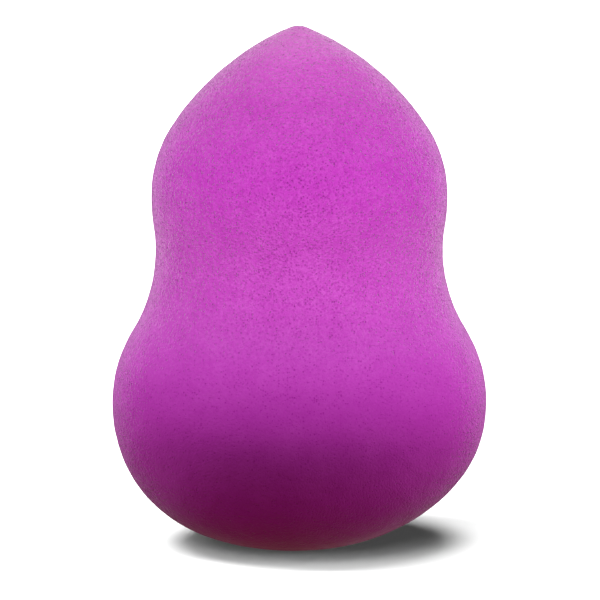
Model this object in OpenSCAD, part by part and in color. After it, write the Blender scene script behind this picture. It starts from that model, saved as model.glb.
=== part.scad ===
// Gourd-shaped makeup sponge, in millimetres.
// The whole sponge is one block of soft open-celled foam, ground to a body of revolution: a round
// base and belly to press and bounce with, a waist for the fingers, and a head with a blunt tip
// for the corners of the nose and eyes. +Z is up, and the origin is the middle of the flat that
// the sponge stands on.

/* [Belly] */
// Diameter of the belly at its widest ring
belly_d = 43.1; // [36:0.1:50]
// Height of the belly's widest ring above the table
belly_rise = 16.5; // [12:0.1:22]
// Share of the way out to the corner of its box that the round base reaches (0.707: an ellipse)
base_corner_share = 0.725; // [0.69:0.005:0.8]
// Depth of the flat that the round base is pressed into where it stands
foot_depth = 0.5; // [0.2:0.05:1.5]

/* [Waist] */
// Diameter of the waist at its narrowest ring
waist_d = 33; // [26:0.1:38]
// Height of the waist's narrowest ring above the belly's widest ring
waist_rise = 17.7; // [12:0.1:26]
// Share of the sweep from belly to waist that bulges out, before it turns to bend in
belly_bulge_share = 0.47; // [0.3:0.01:0.7]

/* [Head] */
// Diameter of the head at its widest ring
head_d = 34; // [29:0.1:40]
// Height of the head's widest ring above the waist's narrowest ring
head_rise = 6.3; // [3:0.1:12]
// Share of the sweep from waist to head that bends in, before it turns to bulge out
waist_hollow_share = 0.41; // [0.3:0.01:0.7]
// Radius of the head's side, just above its widest ring
head_side_r = 14.5; // [6:0.5:16]

/* [Tip] */
// Height of the tip above the head's widest ring
tip_rise = 19.5; // [16.5:0.1:24]
// Radius of the long flank between the head's side and the tip
flank_r = 30.1; // [24:0.1:60]
// Radius of the blunt tip
tip_r = 2.5; // [1:0.1:6]

/* [Hidden] */
$fn = 180;
arc_step = 3; // degrees between the points of an arc
foam_colour = [0.79, 0.29, 0.77];

// Radii and heights of the rings where the outline stands upright
belly_r = belly_d / 2;
waist_r = waist_d / 2;
head_r = head_d / 2;
waist_z = belly_rise + waist_rise;
head_z = waist_z + head_rise;
tip_z = head_z + tip_rise;

// The round base is a quarter of a superellipse, centred on the axis at the height of the belly's
// widest ring. Its crown would dip foot_depth under the table, and it is cut flat there.
base_depth = belly_rise + foot_depth;
base_power = ln(0.5) / ln(base_corner_share);
foot_angle = asin((belly_rise / base_depth) ^ (base_power / 2));

// Radius of the flat that the sponge stands on
foot_r = belly_r * (1 - (belly_rise / base_depth) ^ base_power) ^ (1 / base_power);

// The flank's arc lies round the head's side arc and the tip's arc, and touches both
head_side_centre = [head_r - head_side_r, head_z];
tip_centre = [0, tip_z - tip_r];
flank_centre = meeting_point(tip_centre, flank_r - tip_r, head_side_centre, flank_r - head_side_r);

// Direction, in degrees, from one point of the outline's plane to another
function bearing(from, to) = atan2(to.y - from.y, to.x - from.x);

// Where two circles cross, on the left of the way from the first centre to the second
function meeting_point(centre_a, radius_a, centre_b, radius_b) =
    let (
        span = norm(centre_b - centre_a),
        along = (radius_a ^ 2 - radius_b ^ 2 + span ^ 2) / (2 * span),
        aside = sqrt(radius_a ^ 2 - along ^ 2),
        ahead = (centre_b - centre_a) / span
    )
    centre_a + along * ahead - aside * [-ahead.y, ahead.x];

// Points along an arc, from its start up to but not including its end
function arc(centre, radius, start, end) =
    let (steps = max(1, ceil(abs(end - start) / arc_step)))
    [for (i = [0 : steps - 1])
        let (angle = start + (end - start) * i / steps)
        centre + radius * [cos(angle), sin(angle)]];

// An S of two arcs between two rings where the outline stands upright. The first arc takes its
// share of the sweep, and a negative radius bends it the other way. Rings of one radius are
// joined by a straight line.
function s_curve(from, to, first_share) =
    let (turn = 2 * atan((from.x - to.x) / (to.y - from.y)))
    turn == 0 ? [from] :
    let (
        sum_r = (to.y - from.y) / sin(turn),
        first_r = first_share * sum_r,
        second_r = sum_r - first_r
    )
    concat(
        arc(from - [first_r, 0], first_r, 0, turn),
        arc(to + [second_r, 0], -second_r, turn, 0)
    );

// The round base, from the edge of the foot up to but not including the belly's widest ring
function base() =
    let (steps = ceil(foot_angle / arc_step))
    concat([[foot_r, 0]], [for (i = [1 : steps - 1])
        let (angle = foot_angle * (1 - i / steps))
        [belly_r * cos(angle) ^ (2 / base_power),
         belly_rise - base_depth * sin(angle) ^ (2 / base_power)]]);

// The waist, from the belly's widest ring to the head's
function waist() =
    concat(
        s_curve([belly_r, belly_rise], [waist_r, waist_z], belly_bulge_share),
        s_curve([waist_r, waist_z], [head_r, head_z], waist_hollow_share)
    );

// The head, from its widest ring to the top of the tip
function head_and_tip() =
    let (
        side_end = bearing(flank_centre, head_side_centre),
        flank_end = bearing(flank_centre, tip_centre)
    )
    concat(
        arc(head_side_centre, head_side_r, 0, side_end),
        arc(flank_centre, flank_r, side_end, flank_end),
        arc(tip_centre, tip_r, flank_end, 90),
        [[0, tip_z]]
    );

// The foam, turned from its outline: radius across and height up
module foam_body() {
    color(foam_colour)
        rotate_extrude()
            polygon(concat([[0, 0]], base(), waist(), head_and_tip()));
}

foam_body();
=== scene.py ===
"""Makeup sponge: a gourd-shaped block of soft foam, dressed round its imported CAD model.

The file is laid out as an add-on for Blender 4.5. The sizes and colours that a user would change
are properties, the foam body and the studio each have an operator, and a panel in the 3D view's
sidebar lists them. Run as a script, it makes the whole scene in metres, in the CAD model's frame.
"""

import math

import bpy
import numpy as np
from bpy.props import FloatProperty, FloatVectorProperty, IntProperty, PointerProperty
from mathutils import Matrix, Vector, noise


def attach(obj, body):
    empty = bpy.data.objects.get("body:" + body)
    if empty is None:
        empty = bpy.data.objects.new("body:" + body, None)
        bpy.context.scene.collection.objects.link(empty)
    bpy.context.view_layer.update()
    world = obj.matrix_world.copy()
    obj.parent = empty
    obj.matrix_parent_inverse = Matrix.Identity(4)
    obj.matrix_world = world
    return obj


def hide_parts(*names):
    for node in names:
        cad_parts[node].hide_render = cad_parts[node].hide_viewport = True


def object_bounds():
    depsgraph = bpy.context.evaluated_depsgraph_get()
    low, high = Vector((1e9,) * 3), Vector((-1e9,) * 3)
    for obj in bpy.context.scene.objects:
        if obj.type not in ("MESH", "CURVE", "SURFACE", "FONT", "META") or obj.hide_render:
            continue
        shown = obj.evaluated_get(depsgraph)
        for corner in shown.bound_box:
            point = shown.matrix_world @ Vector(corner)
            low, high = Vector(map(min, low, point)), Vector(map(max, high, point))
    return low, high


bl_info = {
    "name": "Makeup Sponge",
    "version": (1, 0, 0),
    "blender": (4, 5, 0),
    "location": "3D View > Sidebar > Sponge",
    "description": "Makes a gourd-shaped makeup sponge of open-celled foam and the studio it stands in",
    "category": "Object",
}

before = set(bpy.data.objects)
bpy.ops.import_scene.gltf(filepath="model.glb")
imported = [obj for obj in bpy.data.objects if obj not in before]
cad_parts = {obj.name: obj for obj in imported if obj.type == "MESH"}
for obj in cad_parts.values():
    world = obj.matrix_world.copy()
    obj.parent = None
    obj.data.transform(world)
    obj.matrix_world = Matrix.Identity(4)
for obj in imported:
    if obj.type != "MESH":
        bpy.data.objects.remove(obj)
CAD_LOW, CAD_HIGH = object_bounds()

MM = 0.001
FOAM_NODE = "foam_body"
FOAM_PIECE = "foam_skin"
RING_DIGITS = 6  # heights that agree to this many digits, in metres, are one ring


class FoamShape(bpy.types.PropertyGroup):
    """Sizes of the foam's hand-ground shape, on top of the CAD model's true outline."""

    patch_faces: IntProperty(
        name="Patch Faces",
        description="Faces along each side of the six patches that cover the foam",
        default=128, min=16, max=128,
    )
    sag: FloatProperty(
        name="Sag",
        description="How far the base has shifted sideways under the belly",
        default=0.85 * MM, unit="LENGTH",
    )
    sag_height: FloatProperty(
        name="Sag Height",
        description="Height over which the sideways shift dies away",
        default=7 * MM, unit="LENGTH",
    )
    tip_lean: FloatProperty(
        name="Tip Lean",
        description="How far the very tip leans sideways",
        default=0.13 * MM, unit="LENGTH",
    )
    tip_lean_height: FloatProperty(
        name="Tip Lean Height",
        description="Height over which the tip's lean dies away",
        default=3 * MM, unit="LENGTH",
    )
    swell: FloatProperty(
        name="Swell",
        description="Height of the broad swells that grinding leaves",
        default=0.08 * MM, unit="LENGTH",
    )
    swell_size: FloatProperty(
        name="Swell Size",
        description="Breadth of the broad swells",
        default=14 * MM, unit="LENGTH",
    )
    lump: FloatProperty(
        name="Lump",
        description="Height of the small lumps in the ground skin",
        default=0.03 * MM, unit="LENGTH",
    )
    lump_size: FloatProperty(
        name="Lump Size",
        description="Breadth of the small lumps",
        default=1.6 * MM, unit="LENGTH",
    )


class FoamFinish(bpy.types.PropertyGroup):
    """Colours and cell sizes of the dyed foam."""

    colour: FloatVectorProperty(
        name="Foam Colour",
        description="Colour of the dyed foam at the waist",
        default=(0.542, 0.07, 0.522), subtype="COLOR", min=0, max=1,
    )
    # painted light: how much of the painted highlight at the tip and the painted shade towards the foot
    # shows
    painted_light_change: FloatProperty(
        name="Dye Change",
        description="How much of the dye's change from base to tip shows",
        default=1, min=0, max=1, subtype="FACTOR",
    )
    cell_size: FloatProperty(
        name="Cell Size",
        description="Breadth of one cell of the foam",
        default=0.25 * MM, unit="LENGTH",
    )
    nap_height: FloatProperty(
        name="Nap Height",
        description="Height of the nap that the cut cells leave",
        default=0.2 * MM, unit="LENGTH",
    )
    # painted shade: darkens the colour inside the deepest pores, where shade falls
    pore_shade: FloatProperty(
        name="Pore Shade",
        description="How dark the deepest pores are",
        default=0.055, min=0, max=1, subtype="FACTOR",
    )
    grain: FloatProperty(
        name="Grain",
        description="How much the foam's cells differ in brightness",
        default=0.05, min=0, max=1, subtype="FACTOR",
    )
    mottle: FloatProperty(
        name="Mottle",
        description="How much broad patches of the foam differ in brightness",
        default=0.03, min=0, max=1, subtype="FACTOR",
    )
    mottle_size: FloatProperty(
        name="Mottle Size",
        description="Breadth of the broad patches",
        default=3.5 * MM, unit="LENGTH",
    )
    fuzz: FloatProperty(
        name="Fuzz",
        description="Strength of the pale bloom of fine foam fibres seen edge on",
        default=0.4, min=0, max=1, subtype="FACTOR",
    )
    fuzz_spread: FloatProperty(
        name="Fuzz Spread",
        description="How far the pale bloom spreads in from the edge",
        default=0.35, min=0, max=1, subtype="FACTOR",
    )


class Studio(bpy.types.PropertyGroup):
    """Camera and lamps of the product shot."""

    camera_distance: FloatProperty(
        name="Camera Distance",
        description="Distance from the lens to the middle of the sponge",
        default=0.8, unit="LENGTH",
    )
    camera_tilt: FloatProperty(
        name="Camera Tilt",
        description="Angle that the camera looks down at",
        default=math.radians(8), subtype="ANGLE",
    )
    dome: FloatProperty(
        name="Dome",
        description="Brightness of the light that comes from all round and above",
        default=0.375, min=0,
    )
    spots: FloatProperty(
        name="Spots",
        description="Brightness of the level spots, as a share of what they are set to",
        default=1, min=0,
    )
    bulbs: FloatProperty(
        name="Bulbs",
        description="Brightness of the bulbs close by, as a share of what they are set to",
        default=1, min=0,
    )
    key: FloatProperty(
        name="Key",
        description="Brightness of the soft light from the upper right",
        default=0.065, min=0,
    )
    floor_suns: FloatProperty(
        name="Floor Suns",
        description="Brightness of the floor's own lamps, as a share of what they are set to",
        default=1, min=0,
    )
    surroundings: FloatProperty(
        name="Surroundings",
        description="Brightness of the surroundings in what they light",
        default=0.055, min=0,
    )
    bounce: FloatProperty(
        name="Bounce",
        description="Brightness of the light that the floor throws back on the foam",
        default=0.132, min=0,
    )
    bounce_colour: FloatVectorProperty(
        name="Bounce Colour",
        description="Colour of the light that the floor throws back on the foam",
        default=(1, 0.01, 0.13), subtype="COLOR", min=0, max=1,
    )
    floor_side: FloatProperty(
        name="Floor Side",
        description="Length of each side of the floor",
        default=8, unit="LENGTH",
    )


# Light painted into the foam's colour at each height: factors of red, green and blue. The tip is
# painted brighter and paler, a painted highlight of the light from above, and towards the foot the
# green falls away, painting the deeper colour of the shaded underside
PAINTED_LIGHT_BY_HEIGHT = (
    (0, 1, 0.12, 0.92),
    (10 * MM, 1, 0.54, 0.94),
    (18 * MM, 1, 0.66, 1),
    (26 * MM, 1, 1, 1),
    (34 * MM, 1, 1.04, 1),
    (44 * MM, 0.96, 0.74, 0.97),
    (52 * MM, 1.05, 1.05, 1.02),
    (56 * MM, 1.23, 1.55, 1.17),
    (60 * MM, 1.47, 3.1, 1.36),
)
# How finer layers of the skin's relief follow: the falloff, the step in size and their number
RELIEF_LAYERS = (1, 2, 2)
# Shape of the foam's cells, as shares of the cell size
CELL_STRETCH = 2  # length of a cell from front to back
CELL_SHAKE = 0.5  # how far fine noise shakes the cells' walls
CELL_SHAKE_SIZE = 0.8
GRAIN_SIZE = 0.5
NAP_SIZE = 1.1
PORE_EDGE = (0.15, 0.5)  # distances from a cell's middle that its hollow fades out between
# Detail of the noise in the cells' shake, the grain, the nap and the mottle
SHAKE_DETAIL = 1
GRAIN_DETAIL = 2
NAP_DETAIL = 2
MOTTLE_DETAIL = 3
# How deep the cells are cut, and what that does to their look
PORE_RARITY = 4  # the higher, the fewer cells are open deep down
SHALLOW_CELL = 0.25  # depth of every cell, as a share of the nap's height
DEEP_CELL = 0.35  # further depth of the deepest pore
CELL_TONE = 0.5  # how much the cells' own tones differ, against the fine noise over them
# where the pores' painted shade, the cells' tones or the mottle darken the colour, it is also made more
# saturated
DEEPENING = 6  # how much more strongly the dye colours light from deeper in the foam
FOAM_ROUGHNESS = (0.85, 1)  # the least and the most
# Heights that the belly's grain grows between in front and behind, and its shares there
SMOOTH_BELLY = (16 * MM, 33 * MM, 0.3, 1)
# Turns away from front or back that the sides' values grow between, and the shares of the grain and of
# the cells' painted shade there; the stronger painted shade at both sides stands in for light raking
# across the nap
SIDE_TURN = (math.radians(35), math.radians(75))
SIDE_GRAIN = (0, 0.9)
SIDE_PAINTED_SHADE = (1, 4)

# Where the sponge stands in a square picture of PICTURE_SIDE pixels
PICTURE_SIDE = 600
PIXELS_PER_METRE = 8688  # at the sponge's axis
AXIS_COLUMN = 299.5
MIDDLE_ROW_HEIGHT = 28.27 * MM  # height on the axis that the picture's middle row shows

# Level spots, aimed at a point above the sponge. Their cones end below, across the belly.
SPOT_DISTANCE = 0.5
SPOT_HEIGHT = 100 * MM
SPOT_RADIUS = 2 * MM
# Brightness of each spot, and the heights where its light ends and where it is full
SPOTS = (
    (0.315, 8 * MM, 15.2 * MM),
    (0.257, 14 * MM, 20.7 * MM),
    (0.276, 18 * MM, 31.4 * MM),
)
# Azimuth of each set of spots, where 0 is the camera's side and 90 the right, and its share
SPOT_SETS = ((0, 1), (180, 0.7))
# Soft bulbs close by, beside the waist and the head, low in front and high behind: places, and
# powers in watts
BULBS = (
    ((80 * MM, 0, 40 * MM), 0.044),
    ((-80 * MM, 0, 40 * MM), 0.044),
    ((85 * MM, 0, 66 * MM), 0.02),
    ((-85 * MM, 0, 66 * MM), 0.02),
    ((60 * MM, -30 * MM, 8 * MM), 0.015),
    ((-60 * MM, -30 * MM, 8 * MM), 0.006),
    ((70 * MM, 60 * MM, 60 * MM), 0.09),
    ((-70 * MM, 60 * MM, 60 * MM), 0.09),
)
BULB_RADIUS = 12 * MM
# A soft light from the upper right: azimuth and elevation in degrees
KEY_AZIMUTH = 50
KEY_ELEVATION = 30
KEY_SPREAD = 40  # degrees
FOAM_MIDDLE = 30 * MM
# The floor's own suns: lean to the right and lean to the back in degrees, and brightness. Together
# they are over twice as bright as white, so a shadow shows only where most of them are hidden.
FLOOR_SUNS = (
    (-30, 0, 1.025),
    (10, 0, 0.7),
    (10, -30, 0.26),
    (-30, -45, 0.123),
    (-30, -65, 0.111),
    (-50, -15, 0.069),
)
FLOOR_SUN_SPREAD = 25  # degrees


def cad_outline():
    """Distance along the CAD solid's outline, with its radii and heights, from axis to tip."""
    vertices = np.array([v.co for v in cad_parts[FOAM_NODE].data.vertices])
    heights = np.round(vertices[:, 2], RING_DIGITS)
    radii = np.hypot(vertices[:, 0], vertices[:, 1])
    rings = np.unique(heights)
    z = np.concatenate([rings[:1], rings])
    r = np.concatenate([[0], [radii[heights == ring].max() for ring in rings]])
    s = np.concatenate([[0], np.cumsum(np.hypot(np.diff(r), np.diff(z)))])
    return s, r, z


def smooth_through(at, s, values):
    """Values at the places at, on a smooth curve through values given at s."""
    slopes = np.gradient(values, s)
    k = np.clip(np.searchsorted(s, at) - 1, 0, len(s) - 2)
    step = s[k + 1] - s[k]
    t = (at - s[k]) / step
    return (
        values[k] * (1 + 2 * t) * (1 - t) ** 2
        + slopes[k] * step * t * (1 - t) ** 2
        + values[k + 1] * t ** 2 * (3 - 2 * t)
        + slopes[k + 1] * step * t ** 2 * (t - 1)
    )


def ball_grid(count):
    """Unit vectors and faces of a cube swollen to a ball, with count faces along each edge."""
    corner = np.arange(count)
    u, v = (a.ravel() for a in np.meshgrid(corner, corner, indexing="ij"))
    quad_u = np.stack([u, u + 1, u + 1, u], axis=1)
    quad_v = np.stack([v, v, v + 1, v + 1], axis=1)
    corners = []
    for axis in range(3):
        for side in (0, count):
            points = np.empty(quad_u.shape + (3,), int)
            points[..., axis] = side
            points[..., (axis + 1) % 3] = quad_u
            points[..., (axis + 2) % 3] = quad_v
            corners.append(points if side else points[:, ::-1])
    points, index = np.unique(np.concatenate(corners).reshape(-1, 3), axis=0, return_inverse=True)
    cube = np.tan((2 * points / count - 1) * math.pi / 4)
    return cube / np.linalg.norm(cube, axis=1, keepdims=True), index.reshape(-1, 4)


def relief(point, shape):
    """Height of the foam's swells and lumps at a point of its skin."""
    swell = noise.fractal(point / shape.swell_size, *RELIEF_LAYERS)
    lump = noise.fractal(point / shape.lump_size, *RELIEF_LAYERS)
    return shape.swell * swell + shape.lump * lump


def foam_mesh(shape):
    """The foam's skin: the CAD outline turned round its axis, with the foam's own relief."""
    s, r, z = cad_outline()
    ball, faces = ball_grid(shape.patch_faces)
    along = (np.arcsin(np.clip(ball[:, 2], -1, 1)) / math.pi + 0.5) * s[-1]
    turn = np.arctan2(ball[:, 1], ball[:, 0])
    radius = smooth_through(along, s, r)
    height = smooth_through(along, s, z)
    rise = smooth_through(along, s, np.gradient(z, s))
    run = smooth_through(along, s, np.gradient(r, s))
    skin = np.stack([radius * np.cos(turn), radius * np.sin(turn), height], axis=1)
    outward = np.stack([rise * np.cos(turn), rise * np.sin(turn), -run], axis=1)
    heights = np.array([relief(Vector(p), shape) for p in skin])
    skin += outward * heights[:, None]
    skin[:, 0] -= shape.sag * np.exp(-(height / shape.sag_height) ** 2)
    below_tip = (CAD_HIGH[2] - height) / shape.tip_lean_height
    skin[:, 0] -= shape.tip_lean * np.exp(-below_tip ** 2)
    skin[:, 2] = np.maximum(skin[:, 2], 0)
    mesh = bpy.data.meshes.new(FOAM_PIECE)
    mesh.from_pydata(skin.tolist(), [], faces.tolist())
    mesh.shade_smooth()
    return mesh


def new_material(name):
    """An empty node material, with its tree and its output node."""
    material = bpy.data.materials.new(name)
    material.use_nodes = True
    tree = material.node_tree
    tree.nodes.clear()
    return material, tree, tree.nodes.new("ShaderNodeOutputMaterial")


def value_node(nodes, links, operation, *values):
    """A math node's output. Each value is a number or an output to link."""
    node = nodes.new("ShaderNodeMath")
    node.operation = operation
    for socket, value in zip(node.inputs, values):
        if isinstance(value, bpy.types.NodeSocket):
            links.new(value, socket)
        else:
            socket.default_value = value
    return node.outputs[0]


def spread_node(nodes, links, value, low, high, to_low, to_high):
    """Spreads a value from low and high smoothly to to_low and to_high."""
    node = nodes.new("ShaderNodeMapRange")
    node.interpolation_type = "SMOOTHSTEP"
    for name, number in (
        ("From Min", low), ("From Max", high), ("To Min", to_low), ("To Max", to_high)
    ):
        node.inputs[name].default_value = number
    links.new(value, node.inputs["Value"])
    return node.outputs["Result"]


def noise_node(nodes, links, place, size, detail):
    """Noise with features of a size, at a place."""
    node = nodes.new("ShaderNodeTexNoise")
    node.inputs["Scale"].default_value = 1 / size
    node.inputs["Detail"].default_value = detail
    links.new(place, node.inputs["Vector"])
    return node


def painted_light_colour_node(nodes, links, height, finish):
    """The foam's colour with light painted in by height above the foot: a brighter, paler tip as
    painted highlight and less green towards the foot as painted shade.
    """
    share = value_node(nodes, links, "DIVIDE", height, CAD_HIGH[2])
    ramp = nodes.new("ShaderNodeValToRGB")
    stops = ramp.color_ramp.elements
    while len(stops) < len(PAINTED_LIGHT_BY_HEIGHT):
        stops.new(1)
    for stop, (height, *change) in zip(stops, PAINTED_LIGHT_BY_HEIGHT):
        stop.position = height / CAD_HIGH[2]
        colour = [c * (1 + finish.painted_light_change * (k - 1)) for c, k in zip(finish.colour, change)]
        stop.color = (*colour, 1)
    links.new(share, ramp.inputs["Fac"])
    return ramp.outputs["Color"]


def foam_material(finish):
    """Dyed open-celled foam: cell walls, pores of every depth and a pale bloom at the edge."""
    material, tree, output = new_material("Dyed foam")
    nodes, links = tree.nodes, tree.links

    # how far a point is turned from front or back to a side, and its place among stretched cells
    point = nodes.new("ShaderNodeTexCoord").outputs["Object"]
    split = nodes.new("ShaderNodeSeparateXYZ")
    links.new(point, split.inputs["Vector"])
    across = value_node(nodes, links, "ABSOLUTE", split.outputs["X"])
    along = value_node(nodes, links, "ABSOLUTE", split.outputs["Y"])
    turn = value_node(nodes, links, "ARCTAN2", across, along)
    squeeze = nodes.new("ShaderNodeVectorMath")
    squeeze.operation = "MULTIPLY"
    squeeze.inputs[1].default_value = (1, 1 / CELL_STRETCH, 1)
    links.new(point, squeeze.inputs[0])
    place = squeeze.outputs["Vector"]

    # cells of uneven shape: Voronoi cells, whose place is shaken by fine noise
    shake = noise_node(nodes, links, place, finish.cell_size * CELL_SHAKE_SIZE, SHAKE_DETAIL)
    shaken = nodes.new("ShaderNodeVectorMath")
    shaken.operation = "MULTIPLY_ADD"
    links.new(shake.outputs["Color"], shaken.inputs[0])
    shaken.inputs[1].default_value = (finish.cell_size * CELL_SHAKE,) * 3
    links.new(place, shaken.inputs[2])
    cells = nodes.new("ShaderNodeTexVoronoi")
    cells.inputs["Scale"].default_value = 1 / finish.cell_size
    links.new(shaken.outputs["Vector"], cells.inputs["Vector"])
    hollow = spread_node(nodes, links, cells.outputs["Distance"], *PORE_EDGE, 1, 0)

    # each cell is cut through at its own depth, and only a few are open deep down
    chance = nodes.new("ShaderNodeSeparateColor")
    links.new(cells.outputs["Color"], chance.inputs["Color"])
    depth = value_node(nodes, links, "POWER", chance.outputs["Red"], PORE_RARITY)
    pore = value_node(nodes, links, "MULTIPLY", hollow, depth)

    # grain: each cell has a tone of its own, finer noise lies over it, and the belly is smoother
    # in front and behind
    front_keep = spread_node(nodes, links, split.outputs["Z"], *SMOOTH_BELLY)
    side_keep = spread_node(nodes, links, turn, *SIDE_TURN, *SIDE_GRAIN)
    keep = value_node(nodes, links, "MAXIMUM", front_keep, side_keep)
    grain_size = finish.cell_size * GRAIN_SIZE
    fine = noise_node(nodes, links, place, grain_size, GRAIN_DETAIL).outputs["Fac"]
    tone = value_node(nodes, links, "MULTIPLY_ADD", chance.outputs["Green"], CELL_TONE, fine)
    tone = value_node(nodes, links, "SUBTRACT", tone, (1 + CELL_TONE) / 2)
    tone = value_node(nodes, links, "MULTIPLY", tone, keep)
    mottle = noise_node(nodes, links, place, finish.mottle_size, MOTTLE_DETAIL).outputs["Fac"]
    patch = value_node(nodes, links, "MULTIPLY_ADD", mottle, finish.mottle, -finish.mottle / 2)

    # the cells' own tones and the mottle, with painted shade in the pores, make the colour darker and
    # take more of its green away; at both sides all of this is painted more strongly, as painted shade
    # standing in for light that rakes across the nap
    light = value_node(nodes, links, "MULTIPLY_ADD", tone, finish.grain, patch)
    # painted shade in the pores, which the bump also carves
    light = value_node(nodes, links, "MULTIPLY_ADD", pore, -finish.pore_shade, light)
    # painted shade: the colour's contrast grows towards both sides
    side_shade_paint = spread_node(nodes, links, turn, *SIDE_TURN, *SIDE_PAINTED_SHADE)
    shade = value_node(nodes, links, "MULTIPLY_ADD", light, side_shade_paint, 1)
    deepening = value_node(nodes, links, "MULTIPLY_ADD", light, -DEEPENING, 1)
    deep = nodes.new("ShaderNodeGamma")
    links.new(painted_light_colour_node(nodes, links, split.outputs["Z"], finish), deep.inputs["Color"])
    links.new(deepening, deep.inputs["Gamma"])
    colour = nodes.new("ShaderNodeVectorMath")
    colour.operation = "SCALE"
    links.new(deep.outputs["Color"], colour.inputs[0])
    links.new(shade, colour.inputs["Scale"])

    # relief: cells of every depth, in a nap of uneven height
    nap_size = finish.cell_size * NAP_SIZE
    nap = noise_node(nodes, links, place, nap_size, NAP_DETAIL).outputs["Fac"]
    relief_height = value_node(nodes, links, "MULTIPLY_ADD", hollow, -SHALLOW_CELL, nap)
    relief_height = value_node(nodes, links, "MULTIPLY_ADD", pore, -DEEP_CELL, relief_height)
    relief_height = value_node(nodes, links, "MULTIPLY", relief_height, keep)
    bump = nodes.new("ShaderNodeBump")
    bump.inputs["Distance"].default_value = finish.nap_height
    links.new(relief_height, bump.inputs["Height"])

    foam = nodes.new("ShaderNodeBsdfPrincipled")
    foam.inputs["Specular IOR Level"].default_value = 0
    foam.inputs["Sheen Weight"].default_value = finish.fuzz
    foam.inputs["Sheen Roughness"].default_value = finish.fuzz_spread
    roughness = spread_node(nodes, links, fine, 0, 1, *FOAM_ROUGHNESS)
    links.new(roughness, foam.inputs["Roughness"])
    links.new(colour.outputs["Vector"], foam.inputs["Base Color"])
    links.new(bump.outputs["Normal"], foam.inputs["Normal"])
    links.new(foam.outputs["BSDF"], output.inputs["Surface"])
    return material


class SPONGE_OT_foam_body(bpy.types.Operator):
    """Make the foam body from the CAD outline, with its ground skin and open cells"""

    bl_idname = "sponge.foam_body"
    bl_label = "Foam Body"
    bl_options = {"REGISTER", "UNDO"}

    def execute(self, context):
        skin = bpy.data.objects.new(FOAM_PIECE, foam_mesh(context.scene.sponge_shape))
        context.scene.collection.objects.link(skin)
        skin.data.materials.append(foam_material(context.scene.sponge_finish))
        skin.visible_diffuse = False
        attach(skin, "root")
        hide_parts(FOAM_NODE)
        return {"FINISHED"}


def aim(thing, target):
    """Turns a lamp or camera to look at a point."""
    thing.rotation_euler = (Vector(target) - thing.location).to_track_quat("-Z", "Y").to_euler()


def around(target, azimuth, elevation, distance):
    """A place seen from target at an azimuth, where 0 is the photo's side, and an elevation."""
    flat = distance * math.cos(elevation)
    return Vector(target) + Vector((
        flat * math.sin(azimuth), -flat * math.cos(azimuth), distance * math.sin(elevation)
    ))


def make_camera(context, studio):
    """The camera, placed so that the sponge stands in its frame as in the photo."""
    data = bpy.data.cameras.new("Product camera")
    camera = bpy.data.objects.new("Product camera", data)
    context.scene.collection.objects.link(camera)
    half_side = PICTURE_SIDE / 2
    target = Vector(((half_side - AXIS_COLUMN) / PIXELS_PER_METRE, 0, MIDDLE_ROW_HEIGHT))
    camera.location = around(target, 0, studio.camera_tilt, studio.camera_distance)
    aim(camera, target)
    half_width = half_side / PIXELS_PER_METRE
    data.lens = data.sensor_width / 2 * studio.camera_distance / half_width
    context.scene.camera = camera


def make_lamp(context, name, kind, place, target, receivers):
    """A lamp of a kind at a place, aimed at a target, that lights only its receivers."""
    lamp = bpy.data.objects.new(name, bpy.data.lights.new(name, kind))
    context.scene.collection.objects.link(lamp)
    lamp.location = place
    aim(lamp, target)
    lamp.visible_camera = False
    lamp.light_linking.receiver_collection = receivers
    return lamp


def make_sun(context, name, place, target, brightness, spread, receivers):
    """A sun whose light makes a white surface that faces it as bright as brightness."""
    lamp = make_lamp(context, name, "SUN", place, target, receivers)
    lamp.data.energy = math.pi * brightness
    lamp.data.angle = spread
    return lamp


def make_spot(context, name, azimuth, brightness, dark_height, full_height, receivers):
    """A level spot, aimed above the sponge, whose light fades out down the belly."""
    target = (0, 0, SPOT_HEIGHT)
    place = around(target, math.radians(azimuth), 0, SPOT_DISTANCE)
    lamp = make_lamp(context, name, "SPOT", place, target, receivers)
    dark_radius = SPOT_HEIGHT - dark_height
    full_radius = SPOT_HEIGHT - full_height
    lamp.data.energy = 4 * math.pi ** 2 * SPOT_DISTANCE ** 2 * brightness
    lamp.data.shadow_soft_size = SPOT_RADIUS
    lamp.data.spot_size = 2 * math.atan(dark_radius / SPOT_DISTANCE)
    lamp.data.spot_blend = 1 - (full_radius / dark_radius) ** 2


def make_foam_lamps(context, studio, foam):
    """The lamps that light the foam: a dome, level spots, soft bulbs and a soft key light."""
    middle = (0, 0, FOAM_MIDDLE)
    make_sun(context, "Dome", (0, 0, 1), (0, 0, 0), studio.dome, math.pi, foam)
    key_place = around(middle, math.radians(KEY_AZIMUTH), math.radians(KEY_ELEVATION), 1)
    make_sun(context, "Key", key_place, middle, studio.key, math.radians(KEY_SPREAD), foam)
    for azimuth, share in SPOT_SETS:
        for index, (brightness, dark_height, full_height) in enumerate(SPOTS):
            make_spot(
                context, f"Spot {azimuth} {index + 1}", azimuth, studio.spots * share * brightness,
                dark_height, full_height, foam,
            )
    for index, (place, power) in enumerate(BULBS):
        bulb = make_lamp(context, f"Bulb {index + 1}", "POINT", place, middle, foam)
        bulb.data.energy = studio.bulbs * power
        bulb.data.shadow_soft_size = BULB_RADIUS


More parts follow.
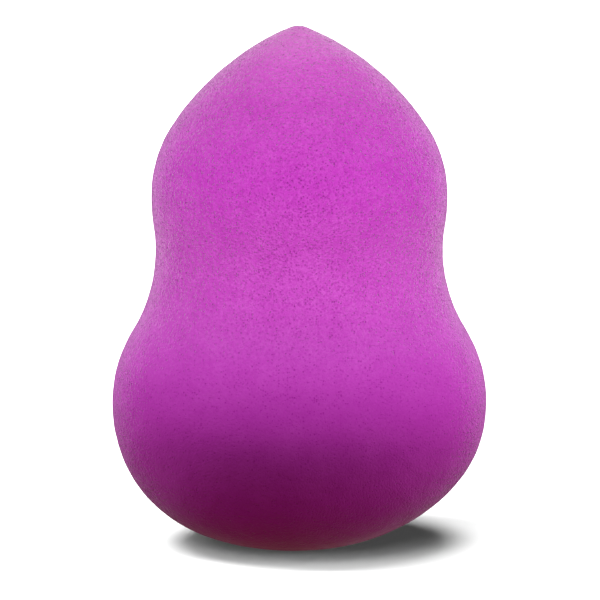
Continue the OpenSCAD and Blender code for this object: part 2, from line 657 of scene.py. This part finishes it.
def make_floor_lamps(context, studio, floor):
    """The lamps that light the floor alone, round a soft shadow a little to the right."""
    for index, (lean_right, lean_back, brightness) in enumerate(FLOOR_SUNS):
        way = Vector((math.tan(math.radians(lean_right)), math.tan(math.radians(lean_back)), 1))
        way.normalize()
        sun = make_sun(
            context, f"Floor sun {index + 1}", way, (0, 0, 0), studio.floor_suns * brightness / way.z,
            math.radians(FLOOR_SUN_SPREAD), floor,
        )
        # the floor's scattered rays pass through the foam, so they mustn't meet the suns
        sun.data.cycles.use_multiple_importance_sampling = False


def seen_rays(nodes, links):
    """A mask of the rays that see a surface: from the camera, in gloss or through glass."""
    rays = nodes.new("ShaderNodeLightPath")
    total = rays.outputs["Is Camera Ray"]
    for name in ("Is Glossy Ray", "Is Transmission Ray"):
        total = value_node(nodes, links, "MAXIMUM", total, rays.outputs[name])
    return total


def floor_material(studio):
    """White paper where it is seen. The foam gets a faint warm light back from it."""
    material, tree, output = new_material("White paper")
    material.cycles.emission_sampling = "NONE"
    nodes, links = tree.nodes, tree.links
    paper = nodes.new("ShaderNodeBsdfDiffuse")
    paper.inputs["Color"].default_value = (1, 1, 1, 1)
    warmth = nodes.new("ShaderNodeEmission")
    warmth.inputs["Color"].default_value = (*studio.bounce_colour, 1)
    warmth.inputs["Strength"].default_value = studio.bounce
    seen = nodes.new("ShaderNodeMixShader")
    links.new(seen_rays(nodes, links), seen.inputs["Fac"])
    links.new(warmth.outputs["Emission"], seen.inputs[1])
    links.new(paper.outputs["BSDF"], seen.inputs[2])
    clear = nodes.new("ShaderNodeBsdfTransparent")
    face = nodes.new("ShaderNodeNewGeometry")
    from_below = nodes.new("ShaderNodeMixShader")
    links.new(face.outputs["Backfacing"], from_below.inputs["Fac"])
    links.new(seen.outputs["Shader"], from_below.inputs[1])
    links.new(clear.outputs["BSDF"], from_below.inputs[2])
    links.new(from_below.outputs["Shader"], output.inputs["Surface"])
    return material


def make_floor(context, studio):
    """A wide white floor that can be looked through from below."""
    side = studio.floor_side / 2
    mesh = bpy.data.meshes.new("Floor")
    mesh.from_pydata(
        [(-side, -side, 0), (side, -side, 0), (side, side, 0), (-side, side, 0)], [], [(0, 1, 2, 3)]
    )
    floor = bpy.data.objects.new("Floor", mesh)
    context.scene.collection.objects.link(floor)
    mesh.materials.append(floor_material(studio))
    floor.visible_shadow = False
    return floor


def make_world(context, studio):
    """Surroundings that are white where they are seen and dim in what they light."""
    world = bpy.data.worlds.new("White surroundings")
    context.scene.world = world
    world.use_nodes = True
    world.cycles.sampling_method = "NONE"
    tree = world.node_tree
    nodes, links = tree.nodes, tree.links
    nodes.clear()
    output = nodes.new("ShaderNodeOutputWorld")
    sky = nodes.new("ShaderNodeBackground")
    sky.inputs["Color"].default_value = (1, 1, 1, 1)
    strength = nodes.new("ShaderNodeMapRange")
    strength.inputs["To Min"].default_value = studio.surroundings
    strength.inputs["To Max"].default_value = 1
    links.new(seen_rays(nodes, links), strength.inputs["Value"])
    links.new(strength.outputs["Result"], sky.inputs["Strength"])
    links.new(sky.outputs["Background"], output.inputs["Surface"])


def group_of(name, members):
    """A collection, outside the scene's own, that lists objects for a lamp to light."""
    group = bpy.data.collections.new(name)
    for member in members:
        group.objects.link(member)
    return group


class SPONGE_OT_studio(bpy.types.Operator):
    """Make the white floor, the surroundings, the lamps and the camera of the product shot"""

    bl_idname = "sponge.studio"
    bl_label = "Studio"
    bl_options = {"REGISTER", "UNDO"}

    def execute(self, context):
        studio = context.scene.sponge_studio
        make_camera(context, studio)
        floor = make_floor(context, studio)
        make_world(context, studio)
        make_foam_lamps(context, studio, group_of("Foam", [context.scene.objects[FOAM_PIECE]]))
        make_floor_lamps(context, studio, group_of("Floor", [floor]))
        context.scene.view_settings.view_transform = "Standard"
        return {"FINISHED"}


class SPONGE_PT_panel(bpy.types.Panel):
    """Sizes, colours and steps of the sponge and its studio"""

    bl_label = "Makeup Sponge"
    bl_idname = "SPONGE_PT_panel"
    bl_space_type = "VIEW_3D"
    bl_region_type = "UI"
    bl_category = "Sponge"

    def draw(self, context):
        scene = context.scene
        for settings, operator in (
            (scene.sponge_shape, None),
            (scene.sponge_finish, SPONGE_OT_foam_body),
            (scene.sponge_studio, SPONGE_OT_studio),
        ):
            box = self.layout.box()
            for name in settings.__annotations__:
                box.prop(settings, name)
            if operator:
                box.operator(operator.bl_idname)


CLASSES = (FoamShape, FoamFinish, Studio, SPONGE_OT_foam_body, SPONGE_OT_studio, SPONGE_PT_panel)


def register():
    for cls in CLASSES:
        bpy.utils.register_class(cls)
    bpy.types.Scene.sponge_shape = PointerProperty(type=FoamShape)
    bpy.types.Scene.sponge_finish = PointerProperty(type=FoamFinish)
    bpy.types.Scene.sponge_studio = PointerProperty(type=Studio)


def unregister():
    del bpy.types.Scene.sponge_studio
    del bpy.types.Scene.sponge_finish
    del bpy.types.Scene.sponge_shape
    for cls in reversed(CLASSES):
        bpy.utils.unregister_class(cls)


def main():
    register()
    bpy.ops.sponge.foam_body()
    bpy.ops.sponge.studio()


if __name__ == "__main__":
    main()
